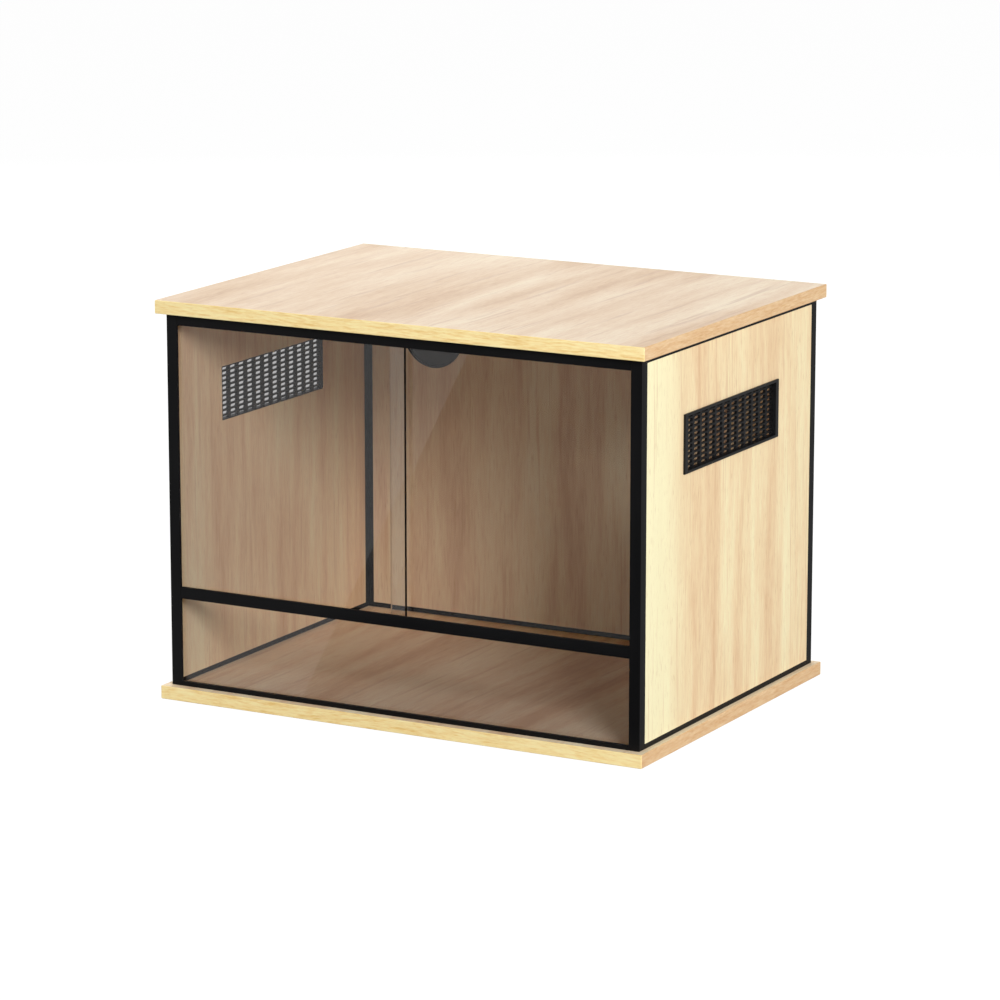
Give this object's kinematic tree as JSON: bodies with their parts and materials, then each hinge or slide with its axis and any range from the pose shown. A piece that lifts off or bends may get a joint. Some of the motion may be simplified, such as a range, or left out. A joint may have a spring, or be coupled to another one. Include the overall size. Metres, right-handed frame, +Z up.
{
  "type": "terrarium cabinet",
  "caption": "Oak-decor terrarium cabinet in a black slotted frame, with sliding glass front doors over a fixed glass pane, side vents and a rear cable port.",
  "frame": {"origin": "middle of the underside of the base board", "axes": "+X to the right seen from the front, +Y towards the back, +Z up"},
  "size_m": [0.6, 0.45, 0.45],
  "materials": {
    "oak_decor_board": "satin pale oak foil on chipboard",
    "oak_edge_band": "satin oak-print edge band",
    "oak_decor_panel": "satin pale oak foil on thin fibreboard",
    "black_frame": "matt black extruded profile",
    "black_track": "matt black extruded track",
    "black_gasket": "soft black channel",
    "clear_glass": "clear float glass, polished edges",
    "vent_bezel": "satin black moulded",
    "vent_plate": "satin black moulded grille",
    "port_sleeve": "matt black moulded",
    "port_cap": "matt dark grey moulded",
    "fastener_steel": "zinc plated"
  },
  "bodies": {
    "cabinet": {"base_board": "oak_decor_board", "base_front_edge_band": "oak_edge_band", "base_rear_edge_band": "oak_edge_band", "base_left_edge_band": "oak_edge_band", "base_right_edge_band": "oak_edge_band", "top_board": "oak_decor_board", "top_front_edge_band": "oak_edge_band", "top_rear_edge_band": "oak_edge_band", "top_left_edge_band": "oak_edge_band", "top_right_edge_band": "oak_edge_band", "front_left_post": "black_frame", "front_right_post": "black_frame", "rear_left_post": "black_frame", "rear_right_post": "black_frame", "left_bottom_rail": "black_frame", "right_bottom_rail": "black_frame", "rear_bottom_rail": "black_frame", "left_top_rail": "black_frame", "right_top_rail": "black_frame", "rear_top_rail": "black_frame", "left_side_panel": "oak_decor_panel", "right_side_panel": "oak_decor_panel", "back_panel": "oak_decor_panel", "header_rail": "black_frame", "mid_rail": "black_frame", "sill_rail": "black_frame", "upper_door_track": "black_track", "lower_door_track": "black_track", "front_pane": "clear_glass", "front_pane_top_gasket": "black_gasket", "front_pane_bottom_gasket": "black_gasket", "left_vent_bezel": "vent_bezel", "right_vent_bezel": "vent_bezel", "left_vent_plate": "vent_plate", "right_vent_plate": "vent_plate", "cable_port_sleeve": "port_sleeve", "post_screws": "fastener_steel", "top_locating_pins": "fastener_steel", "header_screws": "fastener_steel", "sill_screws": "fastener_steel"},
    "left_door": {"left_sliding_door": "clear_glass"},
    "right_door": {"right_sliding_door": "clear_glass"},
    "cable_cap": {"cable_port_cap": "port_cap"}
  },
  "joints": [
    {"name": "left_door_slide", "type": "slide", "parent": "cabinet", "child": "left_door", "axis": [1, 0, 0], "range_m": [0, 0.279]},
    {"name": "right_door_slide", "type": "slide", "parent": "cabinet", "child": "right_door", "axis": [1, 0, 0], "range_m": [-0.27, 0]},
    {"name": "cable_cap_turn", "type": "hinge", "parent": "cabinet", "child": "cable_cap", "pos_m": [-0.196, 0.2158, 0.3525], "axis": [0, 1, 0], "continuous": true}
  ]
}
